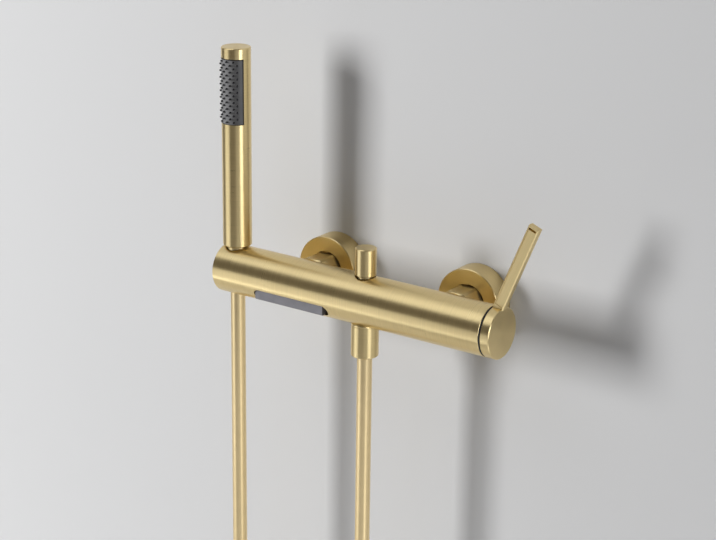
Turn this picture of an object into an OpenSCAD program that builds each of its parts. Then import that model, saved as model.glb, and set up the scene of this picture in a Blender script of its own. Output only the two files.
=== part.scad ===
// Wall-mounted bath shower mixer: bar body, flat spout outlet, docked stick handset, hose and lever.
// X runs along the wall, Y into the wall, Z up. The origin lies on the finished wall,
// midway between the two supply pipes.

/* [Body] */
// Outer diameter of the bar body
body_d = 44.6; // [43:0.1:50]
// Reach of the body beyond the hot inlet
body_left = 77; // [74:0.5:90]
// Reach of the body beyond the cold inlet, up to the handle joint
body_right = 53.1; // [52:0.1:62]
// Distance of the body axis from the wall
axis_out = 66.8; // [62:0.1:80]
// Chamfer on the rims of the body and handle cap
rim_chamfer = 0.6; // [0.2:0.1:1]
// Diameter of the drilled water channels
channel_d = 7; // [5:0.1:7]

/* [Inlets] */
// Spacing of the two supply inlets
inlet_spacing = 150; // [140:0.5:160]
// Height of the wall pipes above the body axis, taken up by the eccentric unions
union_offset = 7.5; // [0:0.5:10]
// Outer diameter of the wall thread, G 1/2
wall_thread_d = 20.955; // [18:0.005:22]
// Length of the wall thread
wall_thread_len = 16; // [10:0.5:25]
// Outer diameter of the union thread, G 3/4
union_thread_d = 26.44; // [25:0.01:27]
// Width across the flats of the union nut
nut_af = 30; // [29.5:0.1:30.5]
// Diameter across the turned corners of the union nut
nut_corner_d = 33.2; // [32.5:0.1:34]
// Length of the union nut
nut_len = 24; // [20:0.5:26]
// Thickness of the retaining lip of the union nut
nut_lip = 4; // [2.5:0.1:6]
// Free space between the union nut and the body
nut_gap = 2.5; // [1:0.1:4]
// Thickness of the inlet sealing washer
inlet_washer_t = 2; // [1.5:0.1:3]
// Outer diameter of the inlet tail
tail_d = 23.2; // [22.6:0.1:23.6]
// Bore of the inlet tail
tail_bore_d = 16; // [15:0.1:17]
// Depth of the inlet tail in the body
tail_depth = 11.5; // [8:0.1:13]
// Collar thickness of the inlet tail
tail_collar_t = 3; // [2:0.1:4]

/* [Rosettes] */
// Rosette diameter
rosette_d = 60.6; // [56:0.1:70]
// Rosette depth
rosette_depth = 20.4; // [17:0.1:24]
// Rosette wall thickness
rosette_wall = 1.8; // [1.2:0.1:3]
// Depth of the nut recess in the rosette
rosette_recess = 11; // [8:0.1:12]

/* [Check valves] */
// Length of the check valve spring when the valve is open
check_spring_pressed = 7.5; // [6:0.1:8]
// Opening travel of the check valve poppet
check_travel = 3; // [1:0.1:4]
// Wire diameter of the check valve spring
check_wire_d = 0.7; // [0.4:0.05:1]

/* [Spout] */
// Distance of the outlet slot's right end from the centre
spout_start = 25.9; // [24:0.1:32]
// Length of the outlet slot
spout_len = 80.5; // [70:0.5:86]
// Width of the outlet slot
spout_w = 12; // [11:0.1:13]
// Direction of the outlet slot below the horizontal
spout_aim = 33; // [30:0.5:36]
// Depth of the outlet slot
spout_depth = 8.3; // [8:0.1:9]
// Length of the outlet nozzle
mouth_len = 73.5; // [60:0.5:78]
// Gap between the slot's left end and the outlet nozzle
mouth_gap = 1.2; // [1:0.1:6]
// Distance of the nozzle's face behind the body's front
mouth_setback = 3.1; // [2.5:0.1:4]
// Height of the nozzle's mouth above the body's lowest line
mouth_lift = 5.9; // [5:0.1:7]
// Number of outlet cells along the nozzle
spout_cells = 16; // [8:1:24]
// Wall thickness of the outlet nozzle
spout_wall = 1.2; // [0.8:0.1:1.4]
// Thickness of the gasket behind the outlet nozzle
spout_seal_t = 1; // [0.6:0.1:1.5]

/* [Cartridge] */
// Diameter of the mixing cartridge
cartridge_d = 35; // [34:0.1:36]
// Length of the mixing cartridge housing
cartridge_len = 26.4; // [24:0.1:30]
// Depth of the cartridge top below the body's right rim
cartridge_sink = 13; // [11:0.1:15]
// Thread diameter of the cartridge nut
cartridge_nut_d = 38.6; // [38:0.1:39.5]
// Diameter of the cartridge ports
port_d = 6.4; // [5:0.1:6.6]
// Thickness of each ceramic disc
disc_t = 4; // [3:0.1:5]
// Diameter of the cartridge stem
stem_d = 13; // [12:0.1:14]
// Square drive of the cartridge stem
drive_af = 8; // [7:0.1:8.4]

/* [Handle] */
// Gap between the body and the handle cap
handle_gap = 1.2; // [0.6:0.1:2]
// Thickness of the handle cap
cap_t = 8.7; // [8:0.1:14]
// Lean of the lever away from the body
lever_lean = 22.2; // [10:0.1:26]
// Length of the lever above the body
lever_len = 80.5; // [60:0.5:100]
// Width of the lever
lever_w = 10; // [8:0.1:11]
// Thickness of the lever
lever_t = 6.5; // [5:0.1:8]
// Rim round the lever's front recess
lever_rim = 1.4; // [1:0.1:2]
// Depth of the lever's front recess
lever_recess = 0.5; // [0.3:0.1:2]
// Height of the grip groove at the top of the lever's recess
lever_groove = 2.2; // [1:0.1:4]
// Diameter of the handle grub screw
grub_d = 5; // [4:0.1:5.5]

/* [Diverter] */
// Distance of the diverter and hose outlet from the centre
outlet_x = 0.5; // [-4:0.5:8]
// Diameter of the diverter knob
knob_d = 18.6; // [16:0.1:20]
// Height of the diverter knob above the body
knob_rise = 25.3; // [18:0.1:32]
// Gap between the diverter knob and the body's top
knob_lift = 0.5; // [0.3:0.1:1.5]
// Depth of the knob's neck in the body
knob_sink = 5; // [3:0.1:6]
// Diameter of the well round the knob's neck
knob_well_d = 22; // [20.5:0.1:22.4]
// Diameter of the diverter rod
rod_d = 6; // [5:0.1:6.6]
// Travel of the diverter
diverter_travel = 8; // [6:0.1:8.5]
// Thread diameter of the diverter bonnet
bonnet_d = 15.8; // [15:0.1:16.6]
// Diameter of the diverter valve
valve_d = 16.4; // [15:0.1:17]
// Wire diameter of the diverter spring
diverter_wire_d = 0.8; // [0.5:0.05:1]

/* [Hose] */
// Outer diameter of the hose
hose_d = 13.3; // [12:0.1:14]
// Outer diameter of the hose nut
hose_nut_d = 24.3; // [23.5:0.1:27]
// Length of the hose nut
hose_nut_len = 28.2; // [26:0.1:34]
// Outer diameter of the outlet thread, G 1/2
outlet_thread_d = 20.955; // [20:0.005:21.2]
// Thickness of the hose washer
hose_washer_t = 1.8; // [1.2:0.1:3]

/* [Handset] */
// Distance of the handset axis from the body's left end
dock_inset = 12; // [12:0.1:16]
// Handset diameter
handset_d = 26.2; // [24:0.1:28]
// Handset length above its shoulder
handset_len = 180.5; // [160:0.5:220]
// Wall thickness of the handset tube
handset_wall = 1.7; // [1.2:0.1:2]
// Diameter of the handset spigot in its dock
spigot_d = 19.6; // [19:0.1:20.4]
// Depth of the spigot below the body's top
spigot_depth = 25.3; // [20:0.1:28]
// Wall of the dock liner
liner_wall = 0.6; // [0.4:0.1:0.8]
// Height of the spray face
spray_h = 58.4; // [40:0.1:64]
// Distance of the spray face from the handset's top
spray_top = 9.3; // [8.5:0.1:20]
// Half angle of the spray face round the handset
spray_half_angle = 66; // [50:1:70]
// Number of nozzle columns
nozzle_cols = 7; // [5:2:9]
// Number of nozzles in a long column
nozzle_rows = 10; // [6:1:11]
// Angle between nozzle columns
nozzle_step = 14; // [10:0.5:16]
// Height of a spray nozzle
nozzle_h = 1.5; // [0.8:0.1:2.2]

/* [Clearances] */
// Gap between screwed or pushed-in pieces
fit = 0.05; // [0.02:0.01:0.08]
// Gap between pieces that move past each other
slack = 0.3; // [0.25:0.05:0.4]

/* [Hidden] */
$fn = 96;

gold = [0.80, 0.66, 0.42];
bare_brass = [0.72, 0.58, 0.30];
silicone_grey = [0.36, 0.36, 0.37];
outlet_grey = [0.45, 0.45, 0.46];
rubber_black = [0.12, 0.12, 0.12];
white_plastic = [0.88, 0.88, 0.86];
ceramic = [0.93, 0.92, 0.88];
steel = [0.70, 0.71, 0.73];

// Body
body_r = body_d / 2;
left_end = -inlet_spacing / 2 - body_left;
right_end = inlet_spacing / 2 + body_right;
axis_z = -union_offset;
back_h = axis_out - body_r;
channel_r = channel_d / 2;
thin_wall = 1;
// Places of the channels across the body, as [y, z] from its axis
hot_channel = [-14, 9];
feed_channel = [-8.5, -3.4];
port_places = [[-10, 6.4], [10, 6.4], [-3, -10.5]];

// Inlets, as distances out from the wall
nut_front = back_h - nut_gap;
nut_back = nut_front - nut_len;
collar_front = nut_front - nut_lip;
collar_back = collar_front - tail_collar_t;
union_end = collar_back - inlet_washer_t;
tail_end = back_h + tail_depth;
wall_r = wall_thread_d / 2;
union_r = union_thread_d / 2;
tail_r = tail_d / 2;
tail_bore_r = tail_bore_d / 2;
union_boss = 5;
nut_bevel = 0.4;
union_wall = 3.5;
inlet_bore_r = tail_bore_r - 1.5;
inlet_bore_end = axis_out - 2;
hot_link_r = channel_r + 0.7;
hot_link_z = 6;
rosette_r = rosette_d / 2;
rosette_hole_r = nut_corner_d / 2 + 1.5 * slack;
rosette_web = 3;
check_r = tail_bore_r - fit;
check_wall = 1.4;
check_start = collar_back + 1.5;
check_seat = 2;
check_guide = 2.5;
poppet_t = 2;
check_guide_back = check_start + check_seat + poppet_t + check_spring_pressed + check_travel;
check_end = check_guide_back + check_guide;
poppet_r = check_r - check_wall - 1.2;
poppet_stem_r = 1.5;
guide_hole_r = 1.7;

// Spout, with places along the body and depths from its axis
spout_x = -spout_start - spout_len;
spout_floor = body_r - spout_depth;
mouth_x = spout_x + mouth_gap;
mouth_front = mouth_setback - body_r;
mouth_bottom = mouth_lift - body_r;
mouth_floor = 2.4;
mouth_chamfer = 1;
cell_pitch = (mouth_len - spout_wall) / spout_cells;
cells_x = mouth_x + spout_wall;
feed_holes = 3;
feed_depth = -feed_channel[0] * cos(spout_aim) - feed_channel[1] * sin(spout_aim);

// Cartridge, with places along the body
cartridge_r = cartridge_d / 2;
cartridge_top = right_end - cartridge_sink;
cartridge_bottom = cartridge_top - cartridge_len;
chamber_floor = cartridge_bottom - 0.6;
cartridge_wall = 2;
cartridge_base = 3;
seal_t = 1.8;
disc_x = cartridge_bottom + cartridge_base;
moving_x = disc_x + disc_t + fit;
carrier_x = moving_x + disc_t;
carrier_t = 4;
stem_r = stem_d / 2;
cartridge_nut_r = cartridge_nut_d / 2;
cartridge_nut_len = 9;
cartridge_nut_end = cartridge_top + cartridge_nut_len;
nut_slots = 4;
nut_slot_w = 4;
nut_slot_depth = 3;
nut_slot_reach = 4.5;

// Handle
cap_x = right_end + handle_gap;
cap_end = cap_x + cap_t;
cap_boss_r = 10;
cap_boss_x = cartridge_top + 5;
drive_x = cap_boss_x - 2;
drive_end = cap_end - 3.6;
lever_root_x = cap_x + 5;
lever_sink = 1.7;
lever_top_rim = 1.4;
lever_groove_depth = 3;
lever_groove_z = lever_len - lever_top_rim - lever_groove;
lever_lip = 2.5;
lever_chamfer = 1.2;
tenon_w = 4.5;
tenon_t = 4;
tenon_depth = 6;
grub_x = drive_end - grub_d / 2 - 0.6;
grub_len = 8;
key_af = 2.5;

// Diverter, with heights from the body axis
knob_r = knob_d / 2;
knob_top = body_r + knob_rise;
knob_bottom = body_r + knob_lift;
knob_chamfer = 0.7;
knob_well_r = knob_well_d / 2;
neck_r = knob_r - 1.8;
neck_bottom = body_r - knob_sink;
bonnet_flange_t = 2;
well_floor = neck_bottom - bonnet_flange_t - 1.6;
bonnet_r = bonnet_d / 2;
rod_r = rod_d / 2;
rod_top = neck_bottom + 13;
valve_r = valve_d / 2;
valve_t = 4;
chamber_r = valve_r + 0.8;
chamber_bottom = -13;
valve_bottom = chamber_bottom + slack;
valve_top = valve_bottom + valve_t;
spring_pressed = 4;
bonnet_bottom = valve_top + diverter_travel + spring_pressed;
rod_groove_h = 1.8;
rod_groove_r = rod_r + 1.8;
rod_groove_z = bonnet_bottom + 5;

// Hose and its end pieces, with heights from the body axis
hose_r = hose_d / 2;
outlet_r = outlet_thread_d / 2;
hose_nut_r = hose_nut_d / 2;
hose_nut_top = -body_r - slack;
hose_nut_bottom = hose_nut_top - hose_nut_len;
hose_nut_chamfer = 0.8;
nipple_end = hose_nut_top - 13.4;
hose_washer_end = nipple_end - hose_washer_t;
hose_flange_t = 2;
hose_flange_end = hose_washer_end - hose_flange_t;
hose_tail_end = hose_flange_end - 4;
hose_bore_r = 4.5;

// Handset, with heights from the body axis
dock_x = left_end + dock_inset;
handset_r = handset_d / 2;
handset_inner_r = handset_r - handset_wall;
shoulder = body_r + 3 * slack;
handset_top = shoulder + handset_len;
end_cap_t = 2;
tube_top = handset_top - end_cap_t;
end_cap_plug = 3.5;
end_cap_bottom = tube_top - end_cap_plug;
tube_chamfer = 1;
spigot_r = spigot_d / 2;
spigot_bottom = body_r - spigot_depth;
spigot_plug = 15;
spigot_top = shoulder + spigot_plug;
liner_bore_r = spigot_r + slack;
liner_r = liner_bore_r + liner_wall;
liner_half = sqrt(body_r * body_r - liner_r * liner_r) - slack;
liner_lip_t = 1.5;
stem_thread_r = 7.4;
stem_len = 9.2;
stem_collar_t = 3;
stem_collar_r = 9;
ferrule_len = 12;
stem_top = spigot_bottom + stem_len;
stem_shoulder = spigot_bottom - slack;
ferrule_r = hose_r + 1;
ferrule_top = stem_shoulder - stem_collar_t;
ferrule_end = ferrule_top - ferrule_len;
stem_seal_t = 1.5;
spray_hi = handset_top - spray_top;
spray_lo = spray_hi - spray_h;
spray_margin = 0.8;
nozzle_base_r = 1.05;
nozzle_tip_r = 0.75;
nozzle_root = 0.5;
orifice_r = 0.35;
nozzle_pitch = spray_h / (nozzle_rows - 0.2);
chamber_wall = 1.8;
chamber_gap = 4;

// Hose route, as [share of the way from the outlet to the dock, height from the body axis]
HOSE_ROUTE = [[0, -90], [0, -130], [0, -170], [0, -210], [0, -250], [0, -290], [0, -330], [0, -370],
    [0, -410], [0, -450], [0.005, -490], [0.01, -520], [0.04, -540], [0.09, -557], [0.17, -571],
    [0.27, -581], [0.38, -588], [0.5, -590], [0.62, -588], [0.73, -581], [0.83, -571], [0.91, -557],
    [0.96, -540], [0.99, -520], [1, -490], [1, -450], [1, -410], [1, -370], [1, -330], [1, -290],
    [1, -250], [1, -210], [1, -170], [1, -130], [1, -90], [1, -50]];
HOSE_SIDES = 12;

// Frames: the body axis, a vertical axis through it, and an inlet axis running out from the wall
module on_axis() translate([0, -axis_out, axis_z]) children();
module on_vertical(x) translate([x, -axis_out, axis_z]) children();
module on_inlet(side) translate([side * inlet_spacing / 2, 0, axis_z]) rotate([90, 0, 0]) children();

// A revolved profile of [radius, place] points, round the vertical or round the body axis
module turned(points) rotate_extrude() polygon(points);
module turned_x(points) rotate([0, 90, 0]) turned(points);
module rod_x(r, x0, x1) translate([x0, 0, 0]) rotate([0, 90, 0]) cylinder(r = r, h = x1 - x0);
module rod_z(r, z0, z1) translate([0, 0, z0]) cylinder(r = r, h = z1 - z0);
function ring(r0, r1, a, b) = [[r0, a], [r1, a], [r1, b], [r0, b]];
function bevelled(r, a, b, c) = [[0, a], [r - c, a], [r, a + c], [r, b - c], [r - c, b], [0, b]];

// A tube swept along points, where each ring starts on the sideward direction given for its point
function unit(v) = v / norm(v);
function tangent(p, i) = unit(p[min(i + 1, len(p) - 1)] - p[max(i - 1, 0)]);
function square_to(n, t) = unit(n - (n * t) * t);
function tube_ring(c, t, n, r, sides) = [for (k = [0:sides - 1])
    c + r * (cos(360 * k / sides) * n + sin(360 * k / sides) * cross(t, n))];
module swept_tube(p, sidewards, r, sides) {
    count = len(p);
    rings = [for (i = [0:count - 1]) each tube_ring(p[i], tangent(p, i),
        square_to(sidewards[i], tangent(p, i)), r, sides)];
    skin = [for (i = [0:count - 2], k = [0:sides - 1]) let (j = (k + 1) % sides)
        each [[i * sides + k, (i + 1) * sides + k, i * sides + j],
              [i * sides + j, (i + 1) * sides + k, (i + 1) * sides + j]]];
    first = [for (k = [1:sides - 2]) [0, k, k + 1]];
    end = (count - 1) * sides;
    last = [for (k = [1:sides - 2]) [end, end + k + 1, end + k]];
    polyhedron(rings, concat(skin, first, last));
}

// A helical spring standing on z0
module spring(r, wire_r, z0, z1, turns) {
    steps = 12;
    count = turns * steps;
    rise = z1 - z0 - 2 * wire_r;
    outward = [for (i = [0:count]) [cos(360 * i / steps), sin(360 * i / steps), 0]];
    p = [for (i = [0:count]) r * outward[i] + [0, 0, z0 + wire_r + rise * i / count]];
    swept_tube(p, outward, wire_r, 6);
}

// Body
module inlet_ports() {
    for (side = [-1, 1]) translate([side * inlet_spacing / 2, axis_out, 0]) rotate([90, 0, 0]) {
        rod_z(tail_r + fit, back_h - 1, tail_end);
        rod_z(inlet_bore_r, tail_end - 1, inlet_bore_end);
    }
}
module water_channels() {
    hot_x = -inlet_spacing / 2;
    // Hot water crosses to the front and runs along the body to the cartridge
    translate([hot_x, inlet_bore_r, hot_link_z]) rotate([90, 0, 0])
        rod_z(hot_link_r, 0, inlet_bore_r - hot_channel[0] + channel_r);
    translate([0, hot_channel[0], hot_channel[1]]) rod_x(channel_r, hot_x, chamber_floor + 1);
    translate([0, port_places[0][0], port_places[0][1]])
        rod_x(channel_r, chamber_floor - 8, chamber_floor + 1);
    // Cold water enters beside the cartridge
    translate([0, port_places[1][0], port_places[1][1]])
        rod_x(channel_r, inlet_spacing / 2, chamber_floor + 1);
    // Mixed water runs back to the diverter, and from there to the spout
    translate([0, port_places[2][0], port_places[2][1]]) rod_x(channel_r, outlet_x, chamber_floor + 1);
    translate([0, feed_channel[0], feed_channel[1]])
        rod_x(channel_r, spout_x + spout_len / (2 * feed_holes), outlet_x);
    for (i = [0:feed_holes - 1])
        translate([spout_x + spout_len * (i + 0.5) / feed_holes, feed_channel[0], feed_channel[1]])
            rotate([90 + spout_aim, 0, 0]) rod_z(channel_r - thin_wall, 0, spout_floor - feed_depth + 1);
}
module diverter_bores() translate([outlet_x, 0, 0]) {
    rod_z(knob_well_r, well_floor, body_r + 1);
    rod_z(bonnet_r + fit, bonnet_bottom - 1, well_floor + 1);
    rod_z(chamber_r, chamber_bottom, bonnet_bottom);
    rod_z(outlet_r + fit, -body_r - 1, chamber_bottom + 1);
}
module cartridge_bores() {
    rod_x(cartridge_r + fit, chamber_floor, right_end + 1);
    rod_x(cartridge_nut_r + fit, cartridge_top, right_end + 1);
}
module body_shell() color(gold) on_axis() difference() {
    turned_x(bevelled(body_r, left_end, right_end, rim_chamfer));
    translate([dock_x, 0, 0]) rod_z(liner_r + fit, -body_r - 1, body_r + 1);
    inlet_ports();
    water_channels();
    slot_plug(0, spout_floor, spout_depth + 1);
    diverter_bores();
    cartridge_bores();
}
module dock_liner() color(rubber_black) on_vertical(dock_x) turned([[ferrule_r + 2 * slack, -liner_half],
    [liner_r, -liner_half], [liner_r, liner_half], [liner_bore_r, liner_half],
    [liner_bore_r, liner_lip_t - liner_half], [ferrule_r + 2 * slack, liner_lip_t - liner_half]]);

// Spout outlet: a round-ended slot, and a hollow nozzle in it with a row of cells through its mouth
module slot_outline(inset) {
    r = spout_w / 2;
    for (x = [spout_x + r, spout_x + spout_len - r]) translate([x, 0]) circle(r - inset);
    translate([spout_x + r, inset - r]) square([spout_len - 2 * r, 2 * (r - inset)]);
}
module slot_plug(inset, depth, height) rotate([90 + spout_aim, 0, 0]) translate([0, 0, depth])
    linear_extrude(height) slot_outline(inset);
module mouth_box(inset, bottom) translate([mouth_x + inset, mouth_front + inset, bottom])
    cube([mouth_len - 2 * inset, body_r, body_r]);
module spout_nozzle() color(outlet_grey) on_axis() difference() {
    intersection() {
        slot_plug(slack, spout_floor + spout_seal_t, body_r);
        mouth_box(0, mouth_bottom);
    }
    intersection() {
        slot_plug(slack + spout_wall, spout_floor, body_r);
        union() {
            mouth_box(spout_wall, mouth_bottom + mouth_floor);
            for (i = [0:spout_cells - 1])
                translate([cells_x + i * cell_pitch, mouth_front + 2 * spout_wall, mouth_bottom - 1])
                    cube([cell_pitch - spout_wall, body_r, mouth_floor + 2]);
        }
    }
    translate([mouth_x + mouth_len / 2, mouth_front, mouth_bottom]) rotate([45, 0, 0])
        cube([2 * mouth_len, sqrt(2) * mouth_chamfer, sqrt(2) * mouth_chamfer], center = true);
}
module spout_gasket() color(rubber_black) on_axis() difference() {
    intersection() {
        slot_plug(slack, spout_floor, spout_seal_t);
        translate([mouth_x, -body_d, -body_d]) cube([mouth_len, 2 * body_d, 2 * body_d]);
    }
    intersection() {
        slot_plug(slack + spout_wall, spout_floor - 1, spout_seal_t + 2);
        translate([mouth_x + spout_wall, -body_d, -body_d])
            cube([mouth_len - 2 * spout_wall, 2 * body_d, 2 * body_d]);
    }
}

// Inlet unions, nuts and rosettes
module union_piece(side) color(bare_brass) on_inlet(side) difference() {
    union() {
        translate([0, union_offset, 0]) rod_z(wall_r, -wall_thread_len, union_boss);
        translate([0, union_offset, 0]) rod_z(union_r, 0, union_boss);
        rod_z(union_r, 0, union_end);
    }
    translate([0, union_offset, 0]) rod_z(wall_r - union_wall, -wall_thread_len - 1, union_boss - 1);
    rod_z(union_r - union_wall, union_boss - 2, union_end + 1);
}
module rosette(side) color(gold) on_inlet(side) turned([
    [union_r + fit, rosette_depth - rosette_recess - rosette_web],
    [rosette_hole_r + rosette_wall, rosette_depth - rosette_recess - rosette_web],
    [rosette_hole_r + rosette_wall, rosette_depth - rosette_wall],
    [rosette_r - rosette_wall, rosette_depth - rosette_wall], [rosette_r - rosette_wall, 0],
    [rosette_r, 0], [rosette_r, rosette_depth - rim_chamfer], [rosette_r - rim_chamfer, rosette_depth],
    [rosette_hole_r, rosette_depth], [rosette_hole_r, rosette_depth - rosette_recess],
    [union_r + fit, rosette_depth - rosette_recess]]);
module union_nut(side) color(gold) on_inlet(side) difference() {
    intersection() {
        translate([0, 0, nut_back]) cylinder(d = nut_af / cos(30), h = nut_len, $fn = 6);
        turned(bevelled(nut_corner_d / 2, nut_back, nut_front, (nut_corner_d - nut_af) / 2 + nut_bevel));
    }
    rod_z(union_r + fit, nut_back - 1, collar_front);
    rod_z(tail_r + slack, nut_back, nut_front + 1);
}
module inlet_washer(side) color(rubber_black) on_inlet(side)
    turned(ring(tail_bore_r, union_r - 2 * slack, union_end, collar_back));
module inlet_tail(side) color(bare_brass) on_inlet(side) turned([[tail_bore_r, collar_back],
    [union_r - 2 * slack, collar_back], [union_r - 2 * slack, collar_front], [tail_r, collar_front],
    [tail_r, tail_end], [tail_bore_r, tail_end]]);

// Check valves in the inlet tails
module check_body(side) color(white_plastic) on_inlet(side) difference() {
    rod_z(check_r, check_start, check_end);
    rod_z(poppet_r - 1, check_start - 1, check_guide_back);
    rod_z(check_r - check_wall, check_start + check_seat, check_guide_back);
    rod_z(poppet_stem_r + fit, check_start, check_end + 1);
    for (a = [0:120:240]) rotate(a) translate([(check_r - check_wall + poppet_stem_r) / 2, 0, 0])
        rod_z(guide_hole_r, check_start + check_seat, check_end + 1);
}
module check_poppet(side) color(white_plastic) on_inlet(side) {
    rod_z(poppet_r, check_start + check_seat + fit, check_start + check_seat + poppet_t);
    rod_z(poppet_stem_r, check_start + check_seat + poppet_t, check_end + 0.5);
}
module check_spring(side) color(steel) on_inlet(side)
    spring(poppet_stem_r + 1.4, check_wire_d / 2, check_start + check_seat + poppet_t + fit,
        check_guide_back - fit, 5);

// Mixing cartridge
module at_ports() for (place = port_places) translate([0, place[0], place[1]]) children();
module cartridge_housing() color(white_plastic) on_axis() difference() {
    rod_x(cartridge_r, cartridge_bottom, cartridge_top);
    rod_x(cartridge_r - cartridge_wall, disc_x, cartridge_top - cartridge_base);
    rod_x(stem_r + fit, disc_x, cartridge_top + 1);
    at_ports() rod_x(port_d / 2, cartridge_bottom - 1, disc_x + 1);
    at_ports() rod_x(port_d / 2 + seal_t, cartridge_bottom - 1, chamber_floor + seal_t);
}
module cartridge_seals() color(rubber_black) on_axis() at_ports()
    turned_x(ring(port_d / 2, port_d / 2 + seal_t - fit, chamber_floor, chamber_floor + seal_t));
module fixed_disc() color(ceramic) on_axis() difference() {
    rod_x(cartridge_r - cartridge_wall - fit, disc_x, disc_x + disc_t);
    at_ports() rod_x(port_d / 2, disc_x - 1, disc_x + disc_t + 1);
}
module moving_disc() color(ceramic) on_axis() difference() {
    rod_x(cartridge_r - cartridge_wall - 1, moving_x, carrier_x);
    translate([moving_x - 1, 0, 0]) rotate([0, 90, 0]) rotate([0, 0, 60]) rotate_extrude(angle = 200)
        translate([cartridge_r / 2 - 1, 0]) square([port_d, disc_t / 2 + 1]);
}
module cartridge_stem() color(bare_brass) on_axis() {
    turned_x([[0, carrier_x], [cartridge_r - cartridge_wall - 1, carrier_x],
        [cartridge_r - cartridge_wall - 1, carrier_x + carrier_t], [stem_r, carrier_x + carrier_t],
        [stem_r, drive_x], [0, drive_x]]);
    translate([drive_x, -drive_af / 2, -drive_af / 2]) cube([drive_end - drive_x, drive_af, drive_af]);
}
module cartridge_nut() color(bare_brass) on_axis() difference() {
    turned_x(ring(cap_boss_r + 3 * slack, cartridge_nut_r, cartridge_top, cartridge_nut_end));
    for (i = [0:nut_slots - 1]) rotate([360 * i / nut_slots, 0, 0])
        translate([cartridge_nut_end - nut_slot_depth, -nut_slot_w / 2, cap_boss_r])
            cube([nut_slot_depth + 1, nut_slot_w, nut_slot_reach]);
}

// Handle
module lever_place() translate([lever_root_x, 0, body_r]) rotate([0, lever_lean, 0]) children();
module lever_tenon(gap) translate([lever_root_x, 0, body_r - lever_sink - tenon_depth])
    translate([-tenon_w / 2 - gap, -tenon_t / 2 - gap, 0])
        cube([tenon_w + 2 * gap, tenon_t + 2 * gap, tenon_depth + lever_sink + 1]);
module lever_foot(gap) intersection() {
    lever_place() translate([-lever_w / 2 - gap, -lever_t / 2 - gap, -2 * lever_w])
        cube([lever_w + 2 * gap, lever_t + 2 * gap, 2 * lever_w + lever_len]);
    translate([cap_x - gap, -lever_w, body_r - lever_sink - gap])
        cube([3 * lever_len, 2 * lever_w, 2 * lever_len]);
}
module handle_cap() color(gold) on_axis() difference() {
    union() {
        turned_x([[0, cap_x], [body_r - rim_chamfer, cap_x], [body_r, cap_x + rim_chamfer],
            [body_r, cap_end - rim_chamfer], [body_r - rim_chamfer, cap_end], [0, cap_end]]);
        rod_x(cap_boss_r, cap_boss_x, cap_x + 1);
    }
    translate([cap_boss_x - 1, -drive_af / 2 - fit, -drive_af / 2 - fit])
        cube([drive_end + fit - cap_boss_x + 1, drive_af + 2 * fit, drive_af + 2 * fit]);
    translate([grub_x, 0, 0]) rod_z(grub_d / 2 + fit, -body_r - 1, 0);
    lever_foot(fit);
    lever_tenon(fit);
}
module lever_outline(inset, bottom, top) translate([inset - lever_w / 2, bottom])
    square([lever_w - 2 * inset, top - bottom]);
module lever() color(gold) on_axis() difference() {
    union() {
        lever_foot(0);
        lever_tenon(0);
    }
    // Recess in the front face, with its rim left standing
    lever_place() translate([0, -lever_t / 2 + lever_recess, 0]) rotate([90, 0, 0])
        linear_extrude(lever_recess + 1) lever_outline(lever_rim, lever_lip, lever_len - lever_top_rim);
    // Groove at the top of the recess
    lever_place() translate([lever_rim - lever_w / 2, -lever_t / 2, lever_groove_z])
        cube([lever_w - 2 * lever_rim, lever_recess + lever_groove_depth, lever_groove]);
    // Bevels on the long front edges and at the tip
    for (side = [-1, 1]) lever_place() translate([side * lever_w / 2, -lever_t / 2, -lever_w])
        rotate([0, 0, 45]) cube([lever_chamfer, lever_chamfer, 4 * lever_len], center = true);
    lever_place() translate([0, -lever_t / 2, lever_len]) rotate([45, 0, 0])
        cube([2 * lever_w, lever_chamfer, lever_chamfer], center = true);
}
module handle_grub_screw() color(steel) on_axis() translate([grub_x, 0, 0]) difference() {
    rod_z(grub_d / 2, -drive_af / 2 - grub_len, -drive_af / 2);
    translate([0, 0, -drive_af / 2 - grub_len - 1]) cylinder(d = key_af / cos(30), h = 4, $fn = 6);
}

// Diverter
module diverter_knob() color(gold) on_vertical(outlet_x) difference() {
    union() {
        turned(bevelled(knob_r, knob_bottom, knob_top, knob_chamfer));
        rod_z(neck_r, neck_bottom, knob_bottom + 1);
    }
    rod_z(rod_r + fit, neck_bottom - 1, rod_top);
}
module diverter_rod() color(bare_brass) on_vertical(outlet_x) rod_z(rod_r, valve_top - 2, rod_top);
module diverter_valve() color(rubber_black) on_vertical(outlet_x) difference() {
    turned(bevelled(valve_r, valve_bottom, valve_top, 0.5));
    rod_z(rod_r, valve_top - 2, valve_top + 1);
}
module diverter_bonnet() color(bare_brass) on_vertical(outlet_x) difference() {
    turned([[0, bonnet_bottom], [bonnet_r, bonnet_bottom], [bonnet_r, well_floor],
        [knob_well_r - slack, well_floor], [knob_well_r - slack, well_floor + bonnet_flange_t],
        [0, well_floor + bonnet_flange_t]]);
    rod_z(rod_r + fit, bonnet_bottom - 1, well_floor + bonnet_flange_t + 1);
    rod_z(rod_groove_r, rod_groove_z, rod_groove_z + rod_groove_h);
}
module diverter_seal() color(rubber_black) on_vertical(outlet_x)
    turned(ring(rod_r + fit, rod_groove_r - fit, rod_groove_z, rod_groove_z + rod_groove_h));
module diverter_spring() color(steel) on_vertical(outlet_x)
    spring(rod_r + 2, diverter_wire_d / 2, valve_top + fit, bonnet_bottom - fit, 4);

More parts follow.
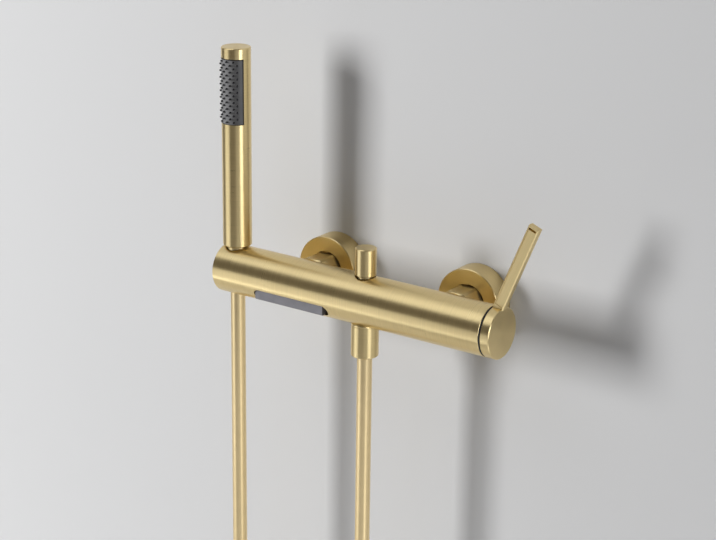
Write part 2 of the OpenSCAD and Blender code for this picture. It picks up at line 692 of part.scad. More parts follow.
// Hose outlet
module outlet_nipple() color(bare_brass) on_vertical(outlet_x)
    turned(ring(outlet_r - union_wall, outlet_r, nipple_end, chamber_bottom));
module hose_washer() color(rubber_black) on_vertical(outlet_x)
    turned(ring(outlet_r - union_wall, outlet_r - slack, hose_washer_end, nipple_end));
module hose_nut() color(gold) on_vertical(outlet_x) turned([[hose_r + slack, hose_nut_bottom],
    [hose_nut_r - hose_nut_chamfer, hose_nut_bottom], [hose_nut_r, hose_nut_bottom + hose_nut_chamfer],
    [hose_nut_r, hose_nut_top], [outlet_r + fit, hose_nut_top], [outlet_r + fit, hose_flange_end],
    [hose_r + slack, hose_flange_end]]);
module hose_tail() color(bare_brass) on_vertical(outlet_x) turned([[hose_bore_r, hose_tail_end],
    [hose_r, hose_tail_end], [hose_r, hose_flange_end], [outlet_r - slack, hose_flange_end],
    [outlet_r - slack, hose_washer_end], [hose_bore_r, hose_washer_end]]);
module hose() color(gold) on_axis() {
    route = concat([[0, hose_tail_end]], HOSE_ROUTE, [[1, ferrule_end]]);
    points = [for (p = route) [outlet_x + p[0] * (dock_x - outlet_x), 0, p[1]]];
    swept_tube(points, [for (p = points) [0, 1, 0]], hose_r, HOSE_SIDES);
}

// Handset and the hose end that it carries
module hose_stem() color(bare_brass) on_vertical(dock_x) difference() {
    turned([[0, ferrule_end], [ferrule_r, ferrule_end], [ferrule_r, ferrule_top],
        [stem_collar_r, ferrule_top], [stem_collar_r, stem_shoulder], [stem_thread_r, stem_shoulder],
        [stem_thread_r, stem_top], [0, stem_top]]);
    rod_z(hose_bore_r, ferrule_end - 1, stem_top + 1);
}
module hose_stem_seal() color(rubber_black) on_vertical(dock_x)
    turned(ring(hose_bore_r, stem_thread_r - fit, stem_top, stem_top + stem_seal_t));
module handset_spigot() color(gold) on_vertical(dock_x) difference() {
    turned([[0, spigot_bottom], [spigot_r - rim_chamfer, spigot_bottom],
        [spigot_r, spigot_bottom + rim_chamfer], [spigot_r, shoulder], [handset_inner_r - fit, shoulder],
        [handset_inner_r - fit, spigot_top], [0, spigot_top]]);
    rod_z(stem_thread_r + fit, spigot_bottom - 1, stem_top + stem_seal_t + fit);
    rod_z(hose_bore_r, spigot_bottom, spigot_top + 1);
}
module sector(r0, r1, z0, z1, half) rotate(-90 - half) rotate_extrude(angle = 2 * half)
    translate([r0, z0]) square([r1 - r0, z1 - z0]);
module handset_tube() color(gold) on_vertical(dock_x) difference() {
    turned([[handset_inner_r, shoulder], [handset_r - tube_chamfer, shoulder],
        [handset_r, shoulder + tube_chamfer], [handset_r, tube_top], [handset_inner_r, tube_top]]);
    sector(handset_inner_r - 1, handset_r + 1, spray_lo, spray_hi, spray_half_angle);
}
module handset_end_cap() color(gold) on_vertical(dock_x) turned([[0, end_cap_bottom],
    [handset_inner_r - fit, end_cap_bottom], [handset_inner_r - fit, tube_top], [handset_r, tube_top],
    [handset_r, handset_top - rim_chamfer], [handset_r - rim_chamfer, handset_top], [0, handset_top]]);
module at_nozzles() {
    middle_z = (spray_lo + spray_hi) / 2;
    middle_col = (nozzle_cols - 1) / 2;
    for (col = [0:nozzle_cols - 1]) {
        rows = nozzle_rows - (col + 1) % 2;
        for (row = [0:rows - 1])
            rotate(-90 + (col - middle_col) * nozzle_step)
                translate([handset_r - nozzle_root, 0, middle_z + (row - (rows - 1) / 2) * nozzle_pitch])
                    rotate([0, 90, 0]) children();
    }
}
module spray_face() color(silicone_grey) on_vertical(dock_x) difference() {
    union() {
        sector(handset_inner_r + fit, handset_r - fit, spray_lo + fit, spray_hi - fit,
            spray_half_angle - spray_margin);
        at_nozzles() cylinder(r1 = nozzle_base_r, r2 = nozzle_tip_r, h = nozzle_h + nozzle_root);
    }
    at_nozzles() rod_z(orifice_r, -handset_wall - 1, nozzle_h + nozzle_root + 1);
}
module spray_chamber() color(white_plastic) on_vertical(dock_x) difference() {
    rod_z(handset_inner_r - fit, spray_lo - chamber_gap, end_cap_bottom);
    rod_z(handset_inner_r - chamber_wall, spray_lo - chamber_gap - 1, spray_hi);
    sector(0, handset_r, spray_lo + chamber_wall, spray_hi - chamber_wall, spray_half_angle - 10);
}

body_shell();
dock_liner();
spout_nozzle();
spout_gasket();
union_piece(-1);  // hot_union
rosette(-1);  // hot_rosette
union_nut(-1);  // hot_union_nut
inlet_washer(-1);  // hot_washer
inlet_tail(-1);  // hot_tail
check_body(-1);  // hot_check_body
check_poppet(-1);  // hot_check_poppet
check_spring(-1);  // hot_check_spring
union_piece(1);  // cold_union
rosette(1);  // cold_rosette
union_nut(1);  // cold_union_nut
inlet_washer(1);  // cold_washer
inlet_tail(1);  // cold_tail
check_body(1);  // cold_check_body
check_poppet(1);  // cold_check_poppet
check_spring(1);  // cold_check_spring
cartridge_housing();
cartridge_seals();
fixed_disc();
moving_disc();
cartridge_stem();
cartridge_nut();
handle_cap();
lever();
handle_grub_screw();
diverter_knob();
diverter_rod();
diverter_valve();
diverter_bonnet();
diverter_seal();
diverter_spring();
outlet_nipple();
hose_washer();
hose_nut();
hose_tail();
hose();
hose_stem();
hose_stem_seal();
handset_spigot();
handset_tube();
handset_end_cap();
spray_face();
spray_chamber();
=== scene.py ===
"""Looks of a wall-mounted bath shower mixer in brushed gold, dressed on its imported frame."""
import math

import bpy
from mathutils import Matrix, Vector


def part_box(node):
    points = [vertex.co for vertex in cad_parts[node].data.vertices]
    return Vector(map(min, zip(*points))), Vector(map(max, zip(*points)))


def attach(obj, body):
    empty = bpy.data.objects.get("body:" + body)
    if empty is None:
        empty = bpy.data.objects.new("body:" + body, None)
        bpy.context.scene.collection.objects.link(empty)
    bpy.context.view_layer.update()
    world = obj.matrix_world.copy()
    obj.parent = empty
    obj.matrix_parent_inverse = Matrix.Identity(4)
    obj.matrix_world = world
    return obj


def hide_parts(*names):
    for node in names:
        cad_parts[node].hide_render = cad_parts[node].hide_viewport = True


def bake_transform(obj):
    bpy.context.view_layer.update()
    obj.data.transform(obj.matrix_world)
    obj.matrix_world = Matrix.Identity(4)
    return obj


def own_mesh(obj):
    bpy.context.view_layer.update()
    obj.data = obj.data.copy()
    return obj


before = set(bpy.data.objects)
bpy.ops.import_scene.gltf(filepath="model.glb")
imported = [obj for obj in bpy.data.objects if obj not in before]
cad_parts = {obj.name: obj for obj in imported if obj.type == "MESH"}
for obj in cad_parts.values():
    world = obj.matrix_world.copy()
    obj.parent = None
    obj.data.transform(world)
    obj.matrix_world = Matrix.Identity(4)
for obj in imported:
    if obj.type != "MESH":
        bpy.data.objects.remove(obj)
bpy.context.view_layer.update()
body_low, body_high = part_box("body_shell")
body_radius = (body_high.z - body_low.z) / 2

# Camera, from the photograph's perspective
CAMERA_AZIMUTH = math.radians(34.90)
CAMERA_ELEVATION = math.radians(18.67)
CAMERA_ROLL = math.radians(0.72)
CAMERA_DISTANCE = 1.7182
CAMERA_TARGET = Vector((-0.0543, 0.0, -0.0095))
CAMERA_LENS = 95.32
SENSOR_WIDTH = 36.0

# Axis of the round body and places of the wall inlets beside its middle, in metres
AXIS_Y = -0.0668
AXIS_Z = -0.0075
INLET_X = 0.075

# Hose, in metres
MM = 0.001
HOSE_DIAMETER = 0.0133
HOSE_SIDES = 32
HOSE_STEPS = 6
# Its route, as [share of the way from the outlet to the dock, millimetres above the body axis]
HOSE_ROUTE = [
    [0, -90], [0, -130], [0, -170], [0, -210], [0, -250], [0, -290], [0, -330], [0, -370], [0, -410],
    [0, -450], [0.005, -490], [0.01, -520], [0.04, -540], [0.09, -557], [0.17, -571], [0.27, -581],
    [0.38, -588], [0.5, -590], [0.62, -588], [0.73, -581], [0.83, -571], [0.91, -557], [0.96, -540],
    [0.99, -520], [1, -490], [1, -450], [1, -410], [1, -370], [1, -330], [1, -290], [1, -250], [1, -210],
    [1, -170], [1, -130], [1, -90], [1, -50],
]

# Metal: colours, ranges of roughness and the drawing out of highlights
GOLD = (0.81, 0.64, 0.32)
BRASS = (0.78, 0.58, 0.26)
STEEL = (0.62, 0.63, 0.65)
GOLD_ROUGH = (0.28, 0.36)
LEVER_ROUGH = (0.34, 0.42)
BRASS_ROUGH = (0.22, 0.32)
STEEL_ROUGH = (0.2, 0.32)
ANISOTROPY = 0.6
LEVER_ANISOTROPY = 0.7
QUARTER_TURN = 0.25
LEVER_LEAN = math.radians(22.2)
# Fine lines in metal: their number a metre across and along them, shades, strength of relief and depth
LINE_SCALE = 2200
LINE_RUN = 40
WIRE_SCALE = 400
LINE_DETAIL = 3
LINE_DARK = 0.94
LINE_LIGHT = 1.04
LINE_RELIEF = 0.08
WIRE_RELIEF = 0.1
LINE_DEPTH = 0.00004
# Faint smudges on metal
SMUDGE_SCALE = 35
SMUDGE_DETAIL = 2
SMUDGE_ROUGH = 0.015
# Grain of moulded surfaces, and their mottle, whose size is given in grains
GRAIN_DETAIL = 4
GRAIN_DEPTH = 0.0001
MOTTLE_DETAIL = 3
MOTTLE_SIZE = 15
# Values between which most of a noise lies
NOISE_LOW = 0.3
NOISE_HIGH = 0.7
# Colour sockets of Blender's mix node
MIX_FIRST = 6
MIX_SECOND = 7
MIX_RESULT = 2

# Pipe thread of the wall ends, in metres. Its flank rises over half a turn
THREAD_PITCH = 0.001814
THREAD_DEPTH = 0.00116
THREAD_START = 0.0005
THREAD_FLANK = 0.5

# Spray face: heights above it between which a nozzle takes on its own colour, in metres
NOZZLE_FOOT = 0.0001
NOZZLE_NECK = 0.0004
# Its half width and the front's direction, in degrees, and the black strip of painted shade along the joint
# round it, in metres
SPRAY_HALF = 66
FRONT = -90
SHADE_LINE_OUT = 0.0006
SHADE_LINE_IN = 0.0005
SHADE_LINE_TOP = 0.0009
SHADE_LINE_SINK = 0.0004
SHADE_LINE_RISE = 0.00005
SHADE_LINE_SIDE_STEPS = 3
SHADE_LINE_END_STEPS = 24

# Rings on the body, in metres: the collar over the hose nut
RING_SIDES = 96
COLLAR_STEP = 0.00005
COLLAR_WALL = 0.0014
COLLAR_FOOT = 0.00002
COLLAR_BEVEL = 0.00015
COLLAR_SINK = 0.0004
# The liner of the well under the diverter knob
KNOB_WELL = 0.022
LINER_FIT = 0.00001
LINER_INSET = 0.0003
LINER_DEPTH = 0.0045
LINER_STEPS = 5
# The black ring of painted shade in the groove beside the handle's cap
JOINT_SINK = 0.00025
JOINT_DEPTH = 0.0015
JOINT_LAP = 0.0004
JOINT_WIDTH = 0.00115

# Backdrop, in metres
WALL_Y = 0.0004
WALL_LEFT = -1.15
WALL_RIGHT = 2.5
WALL_TOP = 2
WALL_COLOR = (0.615, 0.618, 0.621)
OPENING_HALF = 0.019
FLOOR_Z = -0.66
FLOOR_FRONT = -0.6
FLOOR_SIDE = 1.8
FLOOR_COLOR = (0.75, 0.75, 0.75)
BACKDROP_ROUGH = 0.9

# Light
LIGHT_CENTRE = Vector((-0.02, -0.06, 0.0))
LIGHT_DISTANCE = 2.5
LAMP_COLOR = (0.96, 1, 1.08)
KEY_COLOR = (1, 1, 1)
SURROUND_COLOR = (1, 0.93, 0.86)
SURROUND_STRENGTH = 0.13


def make_camera():
    """Places the camera where the photograph was taken from."""
    right = Vector((math.cos(CAMERA_AZIMUTH), math.sin(CAMERA_AZIMUTH), 0))
    forward = Vector((
        -math.sin(CAMERA_AZIMUTH) * math.cos(CAMERA_ELEVATION),
        math.cos(CAMERA_AZIMUTH) * math.cos(CAMERA_ELEVATION),
        -math.sin(CAMERA_ELEVATION),
    ))
    up = right.cross(forward)
    rolled_right = math.cos(CAMERA_ROLL) * right + math.sin(CAMERA_ROLL) * up
    rolled_up = rolled_right.cross(forward)
    data = bpy.data.cameras.new("camera")
    data.lens = CAMERA_LENS
    data.sensor_width = SENSOR_WIDTH
    camera = bpy.data.objects.new("camera", data)
    turn = Matrix((rolled_right, rolled_up, -forward)).transposed()
    place = CAMERA_TARGET - CAMERA_DISTANCE * forward
    camera.matrix_world = Matrix.Translation(place) @ turn.to_4x4()
    bpy.context.collection.objects.link(camera)
    bpy.context.scene.camera = camera


def middle_x(node):
    """The middle of a node along X."""
    low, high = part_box(node)
    return (low.x + high.x) / 2


def half_width(node):
    """Half of a node's width along X, which is the radius of an upright round one."""
    low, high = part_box(node)
    return (high.x - low.x) / 2


def mesh_object(name, verts, faces):
    """A new object in the scene, with a mesh of its own."""
    mesh = bpy.data.meshes.new(name)
    mesh.from_pydata(verts, [], faces)
    mesh.update()
    obj = bpy.data.objects.new(name, mesh)
    bpy.context.collection.objects.link(obj)
    return obj


def smooth_path(points, steps):
    """Points along a Catmull-Rom curve through the given ones."""
    path = []
    last = len(points) - 1
    for i in range(last):
        a, b, c, d = (points[max(0, min(last, i + k))] for k in (-1, 0, 1, 2))
        for step in range(steps):
            t = step / steps
            path.append(0.5 * (2 * b + (c - a) * t + (2 * a - 5 * b + 4 * c - d) * t * t
                               + (3 * b - a - 3 * c + d) * t ** 3))
    path.append(points[last])
    return path


def make_hose():
    """The hose as one tube along its route, from the outlet nut to the dock."""
    outlet = Vector((middle_x("hose_tail"), AXIS_Y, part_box("hose_tail")[0].z))
    dock = Vector((middle_x("hose_stem"), AXIS_Y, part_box("hose_stem")[0].z))
    reach = dock.x - outlet.x
    middle = [Vector((outlet.x + share * reach, AXIS_Y, AXIS_Z + z * MM)) for share, z in HOSE_ROUTE]
    path = smooth_path([outlet] + middle + [dock], HOSE_STEPS)
    last = len(path) - 1
    side = Vector((0, 1, 0))
    verts = []
    for i, point in enumerate(path):
        along = (path[min(i + 1, last)] - path[max(i - 1, 0)]).normalized()
        across = side.cross(along)
        for k in range(HOSE_SIDES):
            angle = 2 * math.pi * k / HOSE_SIDES
            verts.append(point + HOSE_DIAMETER / 2 * (math.cos(angle) * side + math.sin(angle) * across))
    faces = []
    for i in range(last):
        low, high = i * HOSE_SIDES, (i + 1) * HOSE_SIDES
        for k in range(HOSE_SIDES):
            j = (k + 1) % HOSE_SIDES
            faces.append((low + k, low + j, high + j, high + k))
    faces.append(tuple(range(HOSE_SIDES))[::-1])
    faces.append(tuple(last * HOSE_SIDES + k for k in range(HOSE_SIDES)))
    hose = mesh_object("shower_hose", verts, faces)
    for polygon in hose.data.polygons:
        polygon.use_smooth = len(polygon.vertices) == 4
    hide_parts("hose")
    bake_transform(hose)
    return hose


def tree_and_shader(material):
    """A material's node tree and the shader in it."""
    return material.node_tree, material.node_tree.nodes["Principled BSDF"]


def new_material(name, **constants):
    """A material whose shader has the given constants on its own sockets."""
    material = bpy.data.materials.new(name)
    material.use_nodes = True
    shader = tree_and_shader(material)[1]
    for socket, value in constants.items():
        shader.inputs[socket.replace("_", " ")].default_value = value
    return material


def add_node(tree, kind, **settings):
    """A node with some of its properties or inputs set."""
    node = tree.nodes.new(kind)
    for key, value in settings.items():
        if hasattr(node, key):
            setattr(node, key, value)
        else:
            node.inputs[key.replace("_", " ")].default_value = value
    return node


def math_node(tree, operation, *values):
    """The result of one operation on numbers or sockets."""
    node = add_node(tree, "ShaderNodeMath", operation=operation)
    for socket, value in zip(node.inputs, values):
        if isinstance(value, (int, float)):
            socket.default_value = value
        else:
            tree.links.new(value, socket)
    return node.outputs[0]


def part_axes(tree):
    """The X, Y and Z sockets of a point in the part's own frame."""
    place = add_node(tree, "ShaderNodeTexCoord")
    axes = add_node(tree, "ShaderNodeSeparateXYZ")
    tree.links.new(place.outputs["Object"], axes.inputs["Vector"])
    return [axes.outputs[axis] for axis in "XYZ"]


def noise(tree, scale, detail, stretch=(1, 1, 1), turn=0.0):
    """Noise in the part's own frame, stretched along axes turned about Y; returns its value socket."""
    place = add_node(tree, "ShaderNodeTexCoord")
    mapping = add_node(tree, "ShaderNodeMapping", vector_type="TEXTURE")
    mapping.inputs["Rotation"].default_value = (0, turn, 0)
    mapping.inputs["Scale"].default_value = [1 / s for s in stretch]
    texture = add_node(tree, "ShaderNodeTexNoise", Scale=scale, Detail=detail)
    tree.links.new(place.outputs["Object"], mapping.inputs["Vector"])
    tree.links.new(mapping.outputs["Vector"], texture.inputs["Vector"])
    return texture.outputs[0]


def spread(tree, value, low, high):
    """Noise mapped to the range from low to high."""
    node = add_node(tree, "ShaderNodeMapRange", From_Min=NOISE_LOW, From_Max=NOISE_HIGH, To_Min=low,
                    To_Max=high)
    tree.links.new(value, node.inputs["Value"])
    return node.outputs["Result"]


def blend_colors(tree, value, dark, light):
    """A colour between two, by noise."""
    ramp = add_node(tree, "ShaderNodeValToRGB")
    ends = ramp.color_ramp.elements
    for end, position, color in zip(ends, (NOISE_LOW, NOISE_HIGH), (dark, light)):
        end.position = position
        end.color = (*color, 1)
    tree.links.new(value, ramp.inputs["Fac"])
    return ramp.outputs["Color"]


def add_bump(tree, shader, value, strength, depth):
    """Relief from a height, on top of any relief that the shader already has."""
    bump = add_node(tree, "ShaderNodeBump", Strength=strength, Distance=depth)
    tree.links.new(value, bump.inputs["Height"])
    for link in shader.inputs["Normal"].links:
        tree.links.new(link.from_socket, bump.inputs["Normal"])
    tree.links.new(bump.outputs["Normal"], shader.inputs["Normal"])


def brushed(name, color, rough, run, relief=LINE_RELIEF, turn=0.0, tangent=None, **constants):
    """Metal with fine lines. The run has a small scale along the lines and a large one across them, and the
    tangent is the axis, if any, round which highlights are drawn out."""
    material = new_material(name, Metallic=1.0, **constants)
    tree, shader = tree_and_shader(material)
    lines = noise(tree, 1, LINE_DETAIL, run, turn)
    smudge = noise(tree, SMUDGE_SCALE, SMUDGE_DETAIL)
    uneven = math_node(tree, "ADD", spread(tree, lines, *rough),
                       spread(tree, smudge, -SMUDGE_ROUGH, SMUDGE_ROUGH))
    tree.links.new(uneven, shader.inputs["Roughness"])
    dark, light = ([min(1, c * shade) for c in color] for shade in (LINE_DARK, LINE_LIGHT))
    tree.links.new(blend_colors(tree, lines, dark, light), shader.inputs["Base Color"])
    add_bump(tree, shader, lines, relief, LINE_DEPTH)
    if tangent:
        radial = add_node(tree, "ShaderNodeTangent", direction_type="RADIAL", axis=tangent)
        tree.links.new(radial.outputs["Tangent"], shader.inputs["Tangent"])
    return material


def turned(name, color, rough, axis):
    """Metal with fine lines that run round an axis, which draw each highlight out along it."""
    run = [LINE_RUN] * 3
    run["XYZ".index(axis)] = LINE_SCALE
    return brushed(name, color, rough, run, tangent=axis, Anisotropic=ANISOTROPY,
                   Anisotropic_Rotation=QUARTER_TURN)


def threaded(name, x):
    """Turned brass with a pipe thread on the end that goes into the wall, on an axis at the given x."""
    material = turned(name, BRASS, BRASS_ROUGH, "Y")
    tree, shader = tree_and_shader(material)
    along_x, along_y, along_z = part_axes(tree)
    angle = math_node(tree, "ARCTAN2", along_z, math_node(tree, "SUBTRACT", along_x, x))
    turns = math_node(tree, "ADD", math_node(tree, "DIVIDE", along_y, THREAD_PITCH),
                      math_node(tree, "DIVIDE", angle, 2 * math.pi))
    flank = math_node(tree, "PINGPONG", turns, THREAD_FLANK)
    on_thread = math_node(tree, "GREATER_THAN", along_y, THREAD_START)
    height = math_node(tree, "MULTIPLY", flank, on_thread)
    add_bump(tree, shader, height, 1.0, THREAD_DEPTH / THREAD_FLANK)
    return material


def moulded(name, dark, light, rough, scale, relief, **constants):
    """A moulded surface: faintly mottled, with uneven gloss and a fine grain."""
    material = new_material(name, **constants)
    tree, shader = tree_and_shader(material)
    grain = noise(tree, scale, GRAIN_DETAIL)
    mottle = noise(tree, scale / MOTTLE_SIZE, MOTTLE_DETAIL)
    tree.links.new(blend_colors(tree, mottle, dark, light), shader.inputs["Base Color"])
    tree.links.new(spread(tree, grain, *rough), shader.inputs["Roughness"])
    add_bump(tree, shader, grain, relief, GRAIN_DEPTH)
    return material


def nozzled(name, nozzle, **look):
    """A moulded round face whose nozzles, which stand out from it, have a colour of their own."""
    material = moulded(name, **look)
    tree, shader = tree_and_shader(material)
    color = shader.inputs["Base Color"]
    radius = half_width("handset_tube")
    along_x, along_y, _ = part_axes(tree)
    across = math_node(tree, "SUBTRACT", along_x, middle_x("handset_tube"))
    out = math_node(tree, "SUBTRACT", along_y, AXIS_Y)
    squares = [math_node(tree, "MULTIPLY", value, value) for value in (across, out)]
    reach = math_node(tree, "SQRT", math_node(tree, "ADD", *squares))
    rise = add_node(tree, "ShaderNodeMapRange", From_Min=radius + NOZZLE_FOOT,
                    From_Max=radius + NOZZLE_NECK)
    tree.links.new(reach, rise.inputs["Value"])
    mix = add_node(tree, "ShaderNodeMix", data_type="RGBA")
    tree.links.new(rise.outputs["Result"], mix.inputs["Factor"])
    tree.links.new(color.links[0].from_socket, mix.inputs[MIX_FIRST])
    mix.inputs[MIX_SECOND].default_value = (*nozzle, 1)
    tree.links.new(mix.outputs[MIX_RESULT], color)
    return material


def dress(material, *nodes):
    """Gives carried-over nodes a material."""
    for node in nodes:
        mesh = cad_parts[node].data
        mesh.materials.clear()
        mesh.materials.append(material)


def dress_metal():
    """Gold outside, bare brass and steel inside."""
    gold_x, gold_y, gold_z = (turned(f"gold_turned_{axis.lower()}", GOLD, GOLD_ROUGH, axis)
                              for axis in "XYZ")
    dress(gold_x, "body_shell", "handle_cap")
    dress(gold_y, "hot_rosette", "cold_rosette", "hot_union_nut", "cold_union_nut")
    dress(gold_z, "handset_tube", "handset_end_cap", "handset_spigot", "diverter_knob", "hose_nut")
    along = (LINE_SCALE, LINE_SCALE, LINE_RUN)
    dress(brushed("gold_lever", GOLD, LEVER_ROUGH, along, turn=LEVER_LEAN, tangent="Z",
                  Anisotropic=LEVER_ANISOTROPY), "lever")
    brass_x, brass_y, brass_z = (turned(f"brass_turned_{axis.lower()}", BRASS, BRASS_ROUGH, axis)
                                 for axis in "XYZ")
    dress(brass_x, "cartridge_stem", "cartridge_nut")
    dress(brass_y, "hot_tail", "cold_tail")
    dress(brass_z, "diverter_rod", "diverter_bonnet", "outlet_nipple", "hose_tail", "hose_stem")
    for side, x in (("hot", -INLET_X), ("cold", INLET_X)):
        dress(threaded(f"brass_threaded_{side}", x), f"{side}_union")
    dress(brushed("steel_drawn", STEEL, STEEL_ROUGH, [WIRE_SCALE] * 3, WIRE_RELIEF), "hot_check_spring",
          "cold_check_spring", "diverter_spring", "handle_grub_screw")


def dress_plastic():
    """Silicone, rubber, ceramic and moulded plastic."""
    dress(nozzled("silicone_grey", nozzle=(0.03, 0.03, 0.032), dark=(0.165, 0.165, 0.167),
                  light=(0.19, 0.19, 0.192), rough=(0.38, 0.5), scale=2600, relief=0.15,
                  Specular_IOR_Level=0.5),
          "spray_face")
    dress(moulded("outlet_grey", dark=(0.172, 0.168, 0.182), light=(0.198, 0.194, 0.208), rough=(0.45, 0.6),
                  scale=2000, relief=0.12),
          "spout_nozzle")
    # Black rubber. The same material also makes the strips of painted shade in two joints
    dress(moulded("rubber_black", dark=(0.018, 0.018, 0.018), light=(0.028, 0.027, 0.026), rough=(0.6, 0.8),
                  scale=1600, relief=0.2),
          "dock_liner", "spout_gasket", "hot_washer", "cold_washer", "cartridge_seals", "diverter_valve",
          "diverter_seal", "hose_washer", "hose_stem_seal")
    dress(moulded("plastic_white", dark=(0.74, 0.74, 0.71), light=(0.8, 0.8, 0.77), rough=(0.35, 0.5),
                  scale=1200, relief=0.1),
          "hot_check_body", "cold_check_body", "hot_check_poppet", "cold_check_poppet", "cartridge_housing",
          "spray_chamber")
    dress(moulded("ceramic_lapped", dark=(0.82, 0.8, 0.75), light=(0.88, 0.86, 0.81), rough=(0.08, 0.16),
                  scale=3000, relief=0.03),
          "fixed_disc", "moving_disc")


def dress_hose(hose):
    """Satin gold over the whole hose."""
    satin = moulded("hose_satin_gold", dark=(0.88, 0.69, 0.37), light=(0.93, 0.73, 0.395),
                    rough=(0.31, 0.39), scale=1500, relief=0.05, Metallic=0.95)
    hose.data.materials.append(satin)


def curved_block(verts, faces, radii, angles, heights, steps):
    """Adds a block bent round the Z axis, between two radii, two angles in degrees and two heights."""
    first = len(verts)
    inner, outer = radii
    bottom, top = heights
    corners = ((inner, bottom), (outer, bottom), (outer, top), (inner, top))
    rows = len(corners)
    for i in range(steps + 1):
        angle = math.radians(angles[0] + (angles[1] - angles[0]) * i / steps)
        verts += [(r * math.cos(angle), r * math.sin(angle), z) for r, z in corners]
    for i in range(steps):
        low, high = first + rows * i, first + rows * (i + 1)
        for k in range(rows):
            j = (k + 1) % rows
            faces.append((low + k, high + k, high + j, low + j))
    last = first + rows * steps
    faces.append(tuple(range(first, first + rows)))
    faces.append(tuple(range(last, last + rows))[::-1])


def make_spray_shade_line():
    """A black strip of painted shade along the joint between the spray face and the tube."""
    radius = half_width("handset_tube")
    low, high = (corner.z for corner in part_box("spray_face"))
    radii = (radius - SHADE_LINE_SINK, radius + SHADE_LINE_RISE)
    left, right = FRONT - SPRAY_HALF, FRONT + SPRAY_HALF
    out, inward = math.degrees(SHADE_LINE_OUT / radius), math.degrees(SHADE_LINE_IN / radius)
    verts, faces = [], []
    for angles in ((left - out, left + inward), (right - inward, right + out)):
        curved_block(verts, faces, radii, angles, (low, high), SHADE_LINE_SIDE_STEPS)
    for heights in ((high - SHADE_LINE_TOP, high + SHADE_LINE_RISE), (low - SHADE_LINE_RISE, low + SHADE_LINE_IN)):
        curved_block(verts, faces, radii, (left, right), heights, SHADE_LINE_END_STEPS)
    shade_line = mesh_object("spray_shade_line", verts, faces)
    # The strip is painted shade, made in the black rubber material
    shade_line.data.materials.append(bpy.data.materials["rubber_black"])
    shade_line.location = (middle_x("handset_tube"), AXIS_Y, 0)
    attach(shade_line, "handset")


def make_ring(name, x, profile, smooth, material):
    """A closed ring on the body, from the points that its profile gives at each angle. Some of its rows of
    faces are smooth."""
    verts = []
    for i in range(RING_SIDES):
        angle = 2 * math.pi * i / RING_SIDES
        verts += profile(math.cos(angle), math.sin(angle))
    rows = len(verts) // RING_SIDES
    faces = []
    for i in range(RING_SIDES):
        near, far = rows * i, rows * ((i + 1) % RING_SIDES)
        for k in range(rows):
            j = (k + 1) % rows
            faces.append((near + k, far + k, far + j, near + j))
    ring = mesh_object(name, verts, faces)
    for polygon in ring.data.polygons:
        polygon.use_smooth = polygon.index % rows in smooth
    ring.data.materials.append(bpy.data.materials[material])
    ring.location = (x, AXIS_Y, AXIS_Z)
    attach(ring, "root")


def saddle(reach):
    """The height of the body's surface over its axis, at a distance from it to the front or back."""
    return math.sqrt(body_radius ** 2 - reach ** 2)


def make_outlet_collar():
    """The collar that fills the gap between the round body and the flat top of the hose nut."""
    outer = half_width("hose_nut") - COLLAR_STEP
    inner = outer - COLLAR_WALL
    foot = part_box("hose_nut")[1].z - AXIS_Z + COLLAR_FOOT

    def profile(cos, sin):
        rows = ((inner, foot), (outer - COLLAR_BEVEL, foot), (outer, foot + COLLAR_BEVEL),
                (outer, COLLAR_SINK - saddle(outer * sin)), (inner, COLLAR_SINK - saddle(inner * sin)))
        return [(r * cos, r * sin, z) for r, z in rows]

    outer_wall = (2,)
    make_ring("outlet_collar", middle_x("hose_nut"), profile, outer_wall, "gold_turned_z")


def make_knob_liner():
    """The ring that narrows the well under the diverter knob and carries on the body's round surface."""
    inner = half_width("diverter_knob") - LINER_INSET
    outer = KNOB_WELL / 2 - LINER_FIT
    foot = body_radius - LINER_DEPTH
    tops = [outer + (inner - outer) * i / LINER_STEPS for i in range(LINER_STEPS + 1)]

    def profile(cos, sin):
        rows = [(inner, foot), (outer, foot)] + [(r, saddle(r * sin)) for r in tops]
        return [(r * cos, r * sin, z) for r, z in rows]

    top_rows = range(2, 2 + LINER_STEPS)
    make_ring("knob_liner", middle_x("diverter_knob"), profile, top_rows, "gold_turned_x")


def make_handle_shade_line():
    """A black ring of painted shade in the groove between the body and the handle's cap."""
    outer = body_radius - JOINT_SINK
    inner = outer - JOINT_DEPTH

    def profile(cos, sin):
        rows = ((-JOINT_LAP, inner), (-JOINT_LAP, outer), (JOINT_WIDTH, outer), (JOINT_WIDTH, inner))
        return [(x, r * cos, r * sin) for x, r in rows]

    outer_wall = (1,)
    # The ring is painted shade, made in the black rubber material
    make_ring("handle_shade_line", body_high.x, profile, outer_wall, "rubber_black")


def make_spring(node):
    """A copy of a spring's mesh in place of its carried-over node, fixed to the root."""
    spring = bpy.data.objects.new(f"{node}_wire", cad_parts[node].data.copy())
    bpy.context.collection.objects.link(spring)
    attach(spring, "root")
    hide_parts(node)
    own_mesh(spring)


def make_springs():
    """Copies of the springs of the check valves and of the diverter."""
    for side in ("hot", "cold"):
        make_spring(f"{side}_check_spring")
    make_spring("diverter_spring")


def panel(name, verts, faces, color):
    """A flat backdrop panel, seen from its front only."""
    obj = mesh_object(name, verts, faces)
    material = new_material(name, Roughness=BACKDROP_ROUGH, Base_Color=(*color, 1))
    tree, shader = tree_and_shader(material)
    clear = add_node(tree, "ShaderNodeBsdfTransparent")
    side = add_node(tree, "ShaderNodeNewGeometry")
    mix = add_node(tree, "ShaderNodeMixShader")
    tree.links.new(side.outputs["Backfacing"], mix.inputs["Fac"])
    tree.links.new(shader.outputs["BSDF"], mix.inputs[1])
    tree.links.new(clear.outputs["BSDF"], mix.inputs[2])
    tree.links.new(mix.outputs["Shader"], tree.nodes["Material Output"].inputs["Surface"])
    obj.data.materials.append(material)


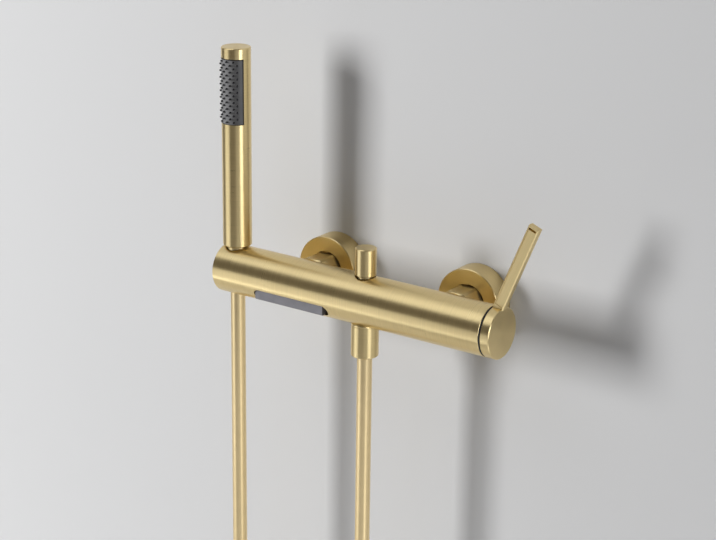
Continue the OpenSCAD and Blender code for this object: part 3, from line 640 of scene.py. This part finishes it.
def make_backdrop():
    """A pale wall behind the part, open where the rosettes hide the pipes, and a pale floor below it."""
    pipe_edges = [s * INLET_X + t * OPENING_HALF for s in (-1, 1) for t in (-1, 1)]
    xs = [WALL_LEFT, *pipe_edges, WALL_RIGHT]
    zs = [FLOOR_Z, AXIS_Z - OPENING_HALF, AXIS_Z + OPENING_HALF, WALL_TOP]
    verts = [(x, WALL_Y, z) for z in zs for x in xs]
    line = len(xs)
    # First corners of the two squares in the middle row that stay open for the pipes
    openings = (line + 1, line + 3)
    corners = [row * line + column for row in range(len(zs) - 1) for column in range(line - 1)]
    faces = [(c, c + 1, c + 1 + line, c + line) for c in corners if c not in openings]
    panel("wall", verts, faces, WALL_COLOR)
    floor = [(-FLOOR_SIDE, FLOOR_FRONT, FLOOR_Z), (FLOOR_SIDE, FLOOR_FRONT, FLOOR_Z),
             (FLOOR_SIDE, WALL_Y, FLOOR_Z), (-FLOOR_SIDE, WALL_Y, FLOOR_Z)]
    panel("floor", floor, [(0, 1, 2, 3)], FLOOR_COLOR)


def make_world():
    """An even, faintly warm surround."""
    world = bpy.data.worlds.new("surround")
    world.use_nodes = True
    background = world.node_tree.nodes["Background"]
    background.inputs["Color"].default_value = (*SURROUND_COLOR, 1)
    background.inputs["Strength"].default_value = SURROUND_STRENGTH
    bpy.context.scene.world = world


def softbox(name, azimuth, elevation, width, height, power, distance=LIGHT_DISTANCE):
    """A rectangular lamp that faces the part. Azimuth 0 is in front of it, and positive is to the right."""
    a, e = math.radians(azimuth), math.radians(elevation)
    toward = Vector((math.sin(a) * math.cos(e), -math.cos(a) * math.cos(e), math.sin(e)))
    data = bpy.data.lights.new(name, "AREA")
    data.shape = "RECTANGLE"
    data.size = width
    data.size_y = height
    data.energy = power
    data.color = LAMP_COLOR
    lamp = bpy.data.objects.new(name, data)
    lamp.location = LIGHT_CENTRE + distance * toward
    lamp.rotation_mode = "QUATERNION"
    lamp.rotation_quaternion = (-toward).to_track_quat("-Z", "Y")
    lamp.visible_camera = False
    bpy.context.collection.objects.link(lamp)
    return lamp


def make_lights():
    """A key from the left that throws the shadows, and dim lamps that the metal reflects."""
    key = softbox("key", azimuth=-49, elevation=8, width=0.8, height=1.75, power=170, distance=4.0)
    key.data.color = KEY_COLOR
    key.visible_glossy = False
    right = softbox("right", azimuth=74, elevation=4, width=1.0, height=1.3, power=20)
    front = softbox("front", azimuth=-44, elevation=-18, width=1.8, height=1.6, power=9)
    low_right = softbox("low_right", azimuth=68, elevation=-38, width=0.32, height=0.36, power=0.36,
                        distance=0.83)
    for lamp in (right, front, low_right):
        lamp.visible_diffuse = False
    softbox("high_left", azimuth=-42, elevation=57, width=2.2, height=1.6, power=12)
    softbox("low_left", azimuth=-58, elevation=-38, width=0.9, height=0.8, power=6)
    softbox("fill_right", azimuth=45, elevation=-10, width=1.4, height=1.2, power=1.9)
    softbox("low_front", azimuth=12, elevation=-34, width=1.0, height=0.4, power=0.6, distance=1.1)


make_camera()
hose = make_hose()
dress_metal()
dress_plastic()
dress_hose(hose)
make_spray_shade_line()
make_springs()
make_outlet_collar()
make_knob_liner()
make_handle_shade_line()
make_backdrop()
make_world()
make_lights()
bpy.context.scene.view_settings.view_transform = "Standard"
